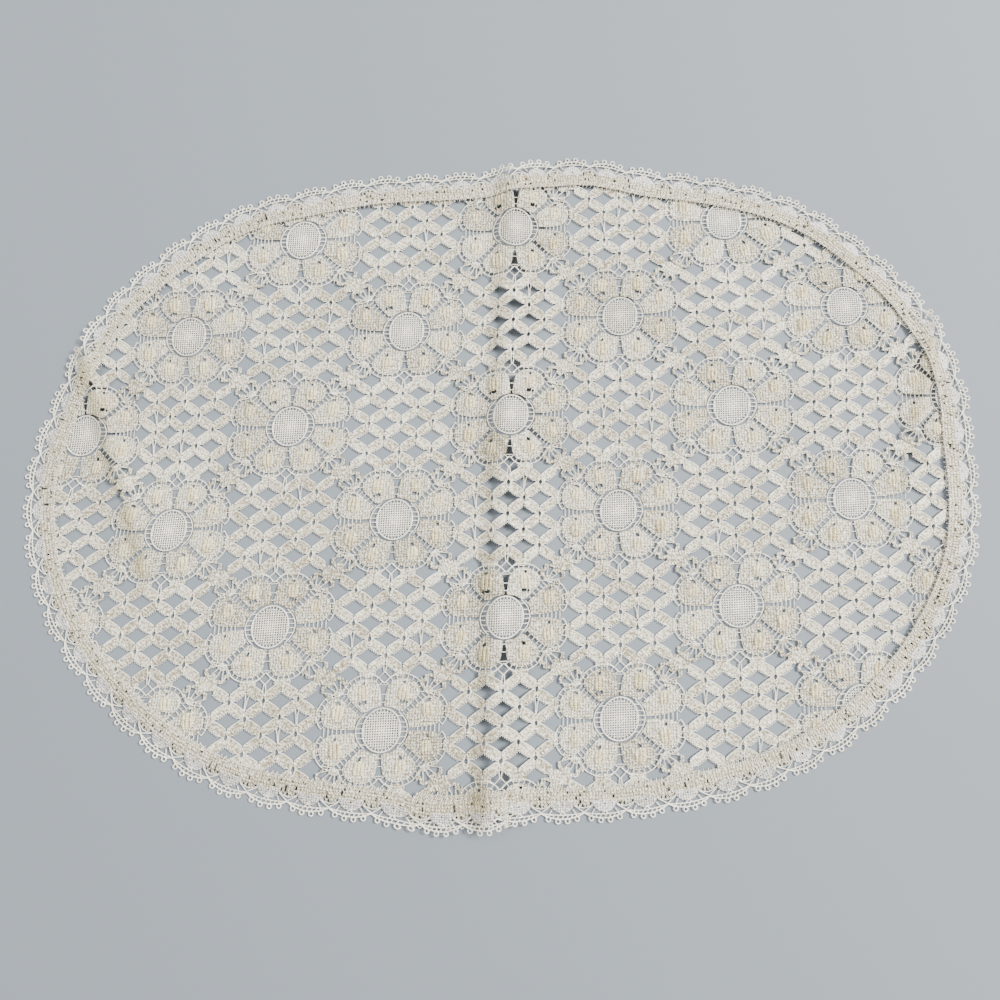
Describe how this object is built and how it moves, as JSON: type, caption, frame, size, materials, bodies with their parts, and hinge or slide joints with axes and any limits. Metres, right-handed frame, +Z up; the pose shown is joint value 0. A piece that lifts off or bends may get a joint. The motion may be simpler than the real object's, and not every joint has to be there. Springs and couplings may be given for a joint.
{
  "type": "lace doily",
  "caption": "Oval cotton lace doily with a flower-pattern centre panel and a sewn-on scalloped lace edging, lying flat with a soft centre fold.",
  "frame": {"origin": "middle of the doily's outer box, on the surface it lies on", "axes": "+X along the doily's length, +Y across it, +Z up out of its right side"},
  "size_m": [0.4054, 0.288, 0.0065],
  "materials": {
    "panel_cotton": "ecru cotton lace, machine made, washed and unstarched, matt",
    "edging_cotton": "off-white cotton lace edging, machine made, matt"
  },
  "bodies": {
    "root": {"lace_panel": "panel_cotton", "lace_edging": "edging_cotton"}
  },
  "joints": []
}
